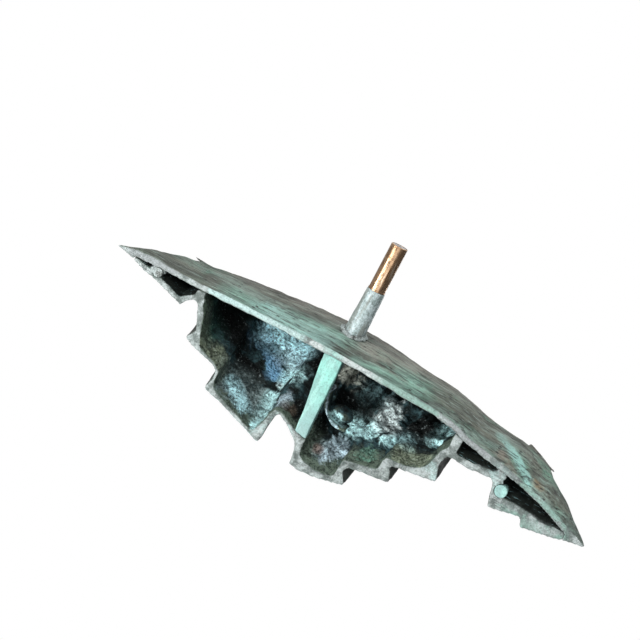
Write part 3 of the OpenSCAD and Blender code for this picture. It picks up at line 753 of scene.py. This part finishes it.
def nearestHit(start, way, names):
    best = None
    for name in names:
        hit = trees[name].ray_cast(start, way)
        if hit[0] is not None and (best is None or hit[3] < best):
            best = hit[3]
    return best


steps = ["steppedCasting"]
airPoints = []
for i in range(int((boxHigh.x - boxLow.x) / air["along"])):
    for depth in air["depths"]:
        for k in range(int((boxHigh.z - air["bottom"]) / air["upwards"])):
            along = boxLow.x + air["along"] * (i + 0.5)
            point = Vector((along, depth, air["bottom"] + air["upwards"] * k))
            up = nearestHit(point, Vector((0, 0, 1)), steps)
            down = nearestHit(point, Vector((0, 0, -1)), ["bellyCasting"])
            if up is None or down is None or min(up, down) < air["clear"]:
                continue
            blocked = nearestHit(point, Vector((0, 0, -1)), steps)
            belly = nearestHit(point, Vector((0, 0, 1)), ["bellyCasting"])
            if (blocked is None or blocked > down) and (belly is None or belly > up):
                airPoints.append(point)
airTree = KDTree(len(airPoints))
for index, point in enumerate(airPoints):
    airTree.insert(point, index)
airTree.balance()
print("hollow found by", len(airPoints), "air points")


def seesHollow(point, normal):
    start = point + normal * air["lift"]
    for spot, _, _ in airTree.find_n(start, air["nearest"]):
        way = spot - start
        if way.dot(normal) <= 0:
            continue
        length = way.length
        way.normalize()
        if all(tree.ray_cast(start, way, length)[0] is None for tree in trees.values()):
            return 1.0
    return 0.0


def markHollow(piece):
    # one value for each point: 1 where it looks into the hollow, and softened over its neighbours
    mesh = piece.data
    values = [seesHollow(vertex.co, vertex.normal) for vertex in mesh.vertices]
    ends = [tuple(edge.vertices) for edge in mesh.edges]
    for _ in range(2):
        total = list(values)
        count = [1] * len(values)
        for a, b in ends:
            total[a] += values[b]
            total[b] += values[a]
            count[a] += 1
            count[b] += 1
        values = [whole / parts for whole, parts in zip(total, count)]
    group = piece.vertex_groups.new(name="inner")
    for vertex, value in zip(mesh.vertices, values):
        weight = value * smoothStep(*castings["mouth"], vertex.co.y)
        towardsTail = smoothStep(*castings["leadStart"], vertex.co.x)
        weight *= castings["leadLumps"] + (1 - castings["leadLumps"]) * towardsTail
        if weight > 0.01:
            group.add([vertex.index], weight, "REPLACE")
    return numpy.array(values)


def spreadStains(places, marks, axesUsed):
    # the mean colour of the stains that reach each place, and the share of the strongest one
    colour = numpy.zeros((len(places), 3))
    total = numpy.full(len(places), 0.000001)
    strongest = numpy.zeros(len(places))
    spots = places * axesUsed
    for solid, start, end, reach, tint, strength in marks:
        first = numpy.array(spotOn(solid, start)) * axesUsed
        along = numpy.array(spotOn(solid, end)) * axesUsed - first
        share = numpy.clip((spots - first) @ along / max(along @ along, 0.0000001), 0.0, 1.0)
        gap = numpy.linalg.norm(spots - first - share[:, None] * along, axis=1)
        weight = strength * numpy.clip(1.6 * (1 - gap / reach), 0.0, 1.0)
        colour += weight[:, None] * numpy.array(patina[tint])
        total += weight
        strongest = numpy.maximum(strongest, weight)
    return numpy.column_stack((colour / total[:, None], strongest))


def paintStains(piece, hollow):
    mesh = piece.data
    mark = mesh.attributes.new("hollow", "FLOAT", "POINT")
    mark.data.foreach_set("value", hollow)
    places = numpy.array([vertex.co[:] for vertex in mesh.vertices])
    front = numpy.array([vertex.normal.y < castings["faceTurn"] and vertex.co.y < castings["faceStart"]
                         for vertex in mesh.vertices])
    paint = spreadStains(places, stains["outer"], (1.0, 1.0, 0.0))
    inner = hollow > castings["hollowStart"]
    paint[inner] = spreadStains(places[inner], stains["inner"], (1.0, 1.0, 1.0))
    paint[front] = spreadStains(places[front], stains["rim"], (1.0, 1.0, 1.0))
    coat = mesh.attributes.new("stain", "FLOAT_COLOR", "POINT")
    coat.data.foreach_set("color", paint.ravel())


def trimFront(piece):
    for vertex in piece.data.vertices:
        vertex.co.y = max(vertex.co.y, castings["front"])


hollowness = {name: markHollow(piece) for name, piece in hull.items()}
for name, piece in hull.items():
    hammer(piece, castMarks)
    keepInBox(piece, boxLow, boxHigh)
    trimFront(piece)
    paintStains(piece, hollowness[name])
    piece.data.materials.append(castMaterial)
    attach(piece, "vane")
    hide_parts(*groups[name])
    print(name, "cast")

# rib, gusset and hood: solids, material, grain, swell and slot

small = {
    "centreRib": (["centre_rib"], ribMaterial, 0.0011, 0.0004, "mint_patina"),
    "ribGusset": (["rib_gusset"], castMaterial, 0.0011, 0.0, "verdigris_bronze"),
    "innerHood": (["inner_hood"], castMaterial, 0.0009, 0.0, "verdigris_bronze"),
}
hoodLump = {"share": (0.4, 0.7, 0.7), "size": 0.0115, "shape": (1.3, 0.9, 0.85)}
hoodMarks = [("hoodLumps", 0.016, 0.0035, 0.5, "")]
smallMarks = [("castWaves", 0.045, 0.0024, 0.5, ""), ("castDents", 0.013, 0.0010, 0.5, "")]
for name, (solids, material, grain, swell, slot) in small.items():
    piece = copySolids(name, solids)
    if name == "innerHood":
        addLump(piece, spotOn("inner_hood", hoodLump["share"]), hoodLump["size"], hoodLump["shape"])
    melt(piece, grain, swell, 2)
    hammer(piece, hoodMarks + smallMarks if name == "innerHood" else smallMarks)
    if material is castMaterial:
        paintStains(piece, numpy.ones(len(piece.data.vertices)))
    trimFront(piece)
    piece.data.materials.append(material)
    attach(piece, "vane")
    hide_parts(*solids)
print("rib, gusset and hood cast")

# rods

rodEnds = {"leadRod": "lead_rod", "tailRod": "tail_rod"}
rodMake = {"sides": 48, "gap": 0.0002, "inset": 0.18, "bevel": 0.0004, "grain": 0.0007}
rodMarks = [("castDents", 0.013, 0.0010, 0.5, ""), ("rodPits", 0.003, 0.0005, 0.5, "")]
for name, solid in rodEnds.items():
    low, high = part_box(solid)
    centre = (low + high) / 2
    radius = (high.x - low.x) / 2
    length = high.y - low.y
    dropSelection()
    bpy.ops.mesh.primitive_cylinder_add(vertices=rodMake["sides"], radius=radius - rodMake["gap"],
                                        depth=length, location=centre,
                                        rotation=(math.radians(90), 0, 0))
    piece = bpy.context.view_layer.objects.active
    piece.name = name
    piece.data.name = name
    bpy.ops.object.transform_apply(location=True, rotation=True, scale=True)
    bpy.ops.object.mode_set(mode="EDIT")
    bpy.ops.mesh.select_mode(type="FACE")
    bpy.ops.mesh.select_all(action="DESELECT")
    bpy.ops.object.mode_set(mode="OBJECT")
    for face in piece.data.polygons:
        face.select = face.normal.y < -0.9
    bpy.ops.object.mode_set(mode="EDIT")
    bpy.ops.mesh.inset(thickness=radius * rodMake["inset"])
    bpy.ops.mesh.bevel(offset=rodMake["bevel"], segments=2)
    bpy.ops.object.mode_set(mode="OBJECT")
    melt(piece, rodMake["grain"], 0.0, 2)
    hammer(piece, rodMarks)
    keepInBox(piece, low, high)
    piece.data.materials.append(weldMaterial if name == "leadRod" else rodMaterial)
    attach(piece, "vane")
    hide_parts(solid)
print("rods ready")

# sleeve and the bead round it

collar = {"sleeveGrain": 0.0007, "beadGrain": 0.0006, "beadSwell": 0.0008}
sleeveMarks = [("sleeveDents", 0.009, 0.0006, 0.6, "")]
beadMarks = [("beadRipples", 0.0042, 0.0042, 0.55, "")]
sleeve = copySolids("spindleSleeve", ["spindle_sleeve"])
melt(sleeve, collar["sleeveGrain"], 0.0, 2)
hammer(sleeve, sleeveMarks)
low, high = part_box("spindle_sleeve")
keepInBox(sleeve, low, high)
sleeve.data.materials.append(sleeveMaterial)
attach(sleeve, "vane")
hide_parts("spindle_sleeve")

bead = copySolids("sleeveBead", ["sleeve_weld"])
melt(bead, collar["beadGrain"], collar["beadSwell"], 1)
hammer(bead, beadMarks)
bead.data.materials.append(weldMaterial)
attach(bead, "vane")
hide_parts("sleeve_weld")
print("sleeve ready")

# turned parts keep their solids

for solid in ("bearing_bush", "thrust_washer"):
    cadNodes[solid].data.materials.clear()
    cadNodes[solid].data.materials.append(bushMaterial)
for solid in ("spindle_rod", "retaining_washer", "retaining_screw"):
    cadNodes[solid].data.materials.clear()
    cadNodes[solid].data.materials.append(steelMaterial)

# floor, light and camera

stage = {"floor": -1.25, "size": 20.0, "paper": (0.86, 0.86, 0.86, 1.0), "rough": 0.9, "glow": 0.45}
dropSelection()
bpy.ops.mesh.primitive_plane_add(size=stage["size"], location=(0, 0, stage["floor"]))
floor = bpy.context.view_layer.objects.active
floor.name = "floor"
paper, _, paperShader, _ = startMaterial("paleFloor")
paperShader.inputs["Base Color"].default_value = stage["paper"]
paperShader.inputs["Roughness"].default_value = stage["rough"]
paperShader.inputs["Emission Color"].default_value = (1.0, 1.0, 1.0, 1.0)
paperShader.inputs["Emission Strength"].default_value = stage["glow"]
floor.data.materials.append(paper)

# lamps: place, power and width
lamps = {
    "keyLamp": ((0.75, -1.25, -0.75), 11.0, 0.9),
    "frontLamp": ((-0.5, -1.9, 0.25), 5.0, 1.2),
    "caveLamp": ((0.75, -1.55, 0.80), 50.0, 0.40),
    "topLamp": ((0.4, 0.6, 1.8), 22.0, 1.6),
    "stripLamp": ((0.88, -0.93, 0.22), 3.0, 0.3),
    "backLamp": ((-0.7, 1.9, 1.0), 26.0, 1.2),
}
aim = Vector((-0.03, 0.0, 0.1))
for name, (spot, power, size) in lamps.items():
    light = bpy.data.lights.new(name, "AREA")
    light.energy = power
    light.size = size
    lamp = bpy.data.objects.new(name, light)
    lamp.location = spot
    lamp.rotation_euler = (aim - Vector(spot)).to_track_quat("-Z", "Y").to_euler()
    bpy.context.scene.collection.objects.link(lamp)

skyLight = {"strength": 0.4, "lean": -0.6, "span": (-1.1, 0.6), "dim": (0.30, 0.30, 0.31)}
sky = bpy.data.worlds.new("sky")
sky.use_nodes = True
skyTree = sky.node_tree
skyTree.nodes.clear()
skyOut = skyTree.nodes.new("ShaderNodeOutputWorld")
seen = skyTree.nodes.new("ShaderNodeBackground")
seen.inputs["Color"].default_value = (1.0, 1.0, 1.0, 1.0)
soft = skyTree.nodes.new("ShaderNodeBackground")
soft.inputs["Strength"].default_value = skyLight["strength"]
where = skyTree.nodes.new("ShaderNodeTexCoord")
wx, wy, _ = axes(skyTree, where.outputs["Generated"])
across = sums(skyTree, "ADD", wx, sums(skyTree, "MULTIPLY", wy, skyLight["lean"]))
glow = blendColour(skyTree, between(skyTree, across, *skyLight["span"]), skyLight["dim"], (1.0, 1.0, 1.0))
skyTree.links.new(glow, soft.inputs["Color"])
path = skyTree.nodes.new("ShaderNodeLightPath")
pick = skyTree.nodes.new("ShaderNodeMixShader")
skyTree.links.new(path.outputs["Is Camera Ray"], pick.inputs["Fac"])
skyTree.links.new(soft.outputs["Background"], pick.inputs[1])
skyTree.links.new(seen.outputs["Background"], pick.inputs[2])
skyTree.links.new(pick.outputs["Shader"], skyOut.inputs["Surface"])
bpy.context.scene.world = sky
bpy.context.scene.view_settings.view_transform = "Standard"

view = {"turn": -9.0, "lift": -12.4, "roll": 207.5, "distance": 1.712, "aside": 0.0647, "above": 0.0346,
        "lens": 85.0}


def placeCamera(view):
    turn, lift, roll = (math.radians(view[key]) for key in ("turn", "lift", "roll"))
    back = Vector((math.sin(turn) * math.cos(lift), -math.cos(turn) * math.cos(lift), math.sin(lift)))
    right = (-back).cross(Vector((0, 0, 1))).normalized()
    up = right.cross(-back)
    rolledRight = right * math.cos(roll) + up * math.sin(roll)
    rolledUp = up * math.cos(roll) - right * math.sin(roll)
    eye = back * view["distance"] - rolledRight * view["aside"] - rolledUp * view["above"]
    camera = bpy.data.objects.new("camera", bpy.data.cameras.new("camera"))
    bpy.context.scene.collection.objects.link(camera)
    camera.data.lens = view["lens"]
    camera.data.sensor_width = 36.0
    turned = Matrix((rolledRight, rolledUp, back)).transposed().to_4x4()
    camera.matrix_world = Matrix.Translation(eye) @ turned
    bpy.context.scene.camera = camera


placeCamera(view)
print("stage ready")
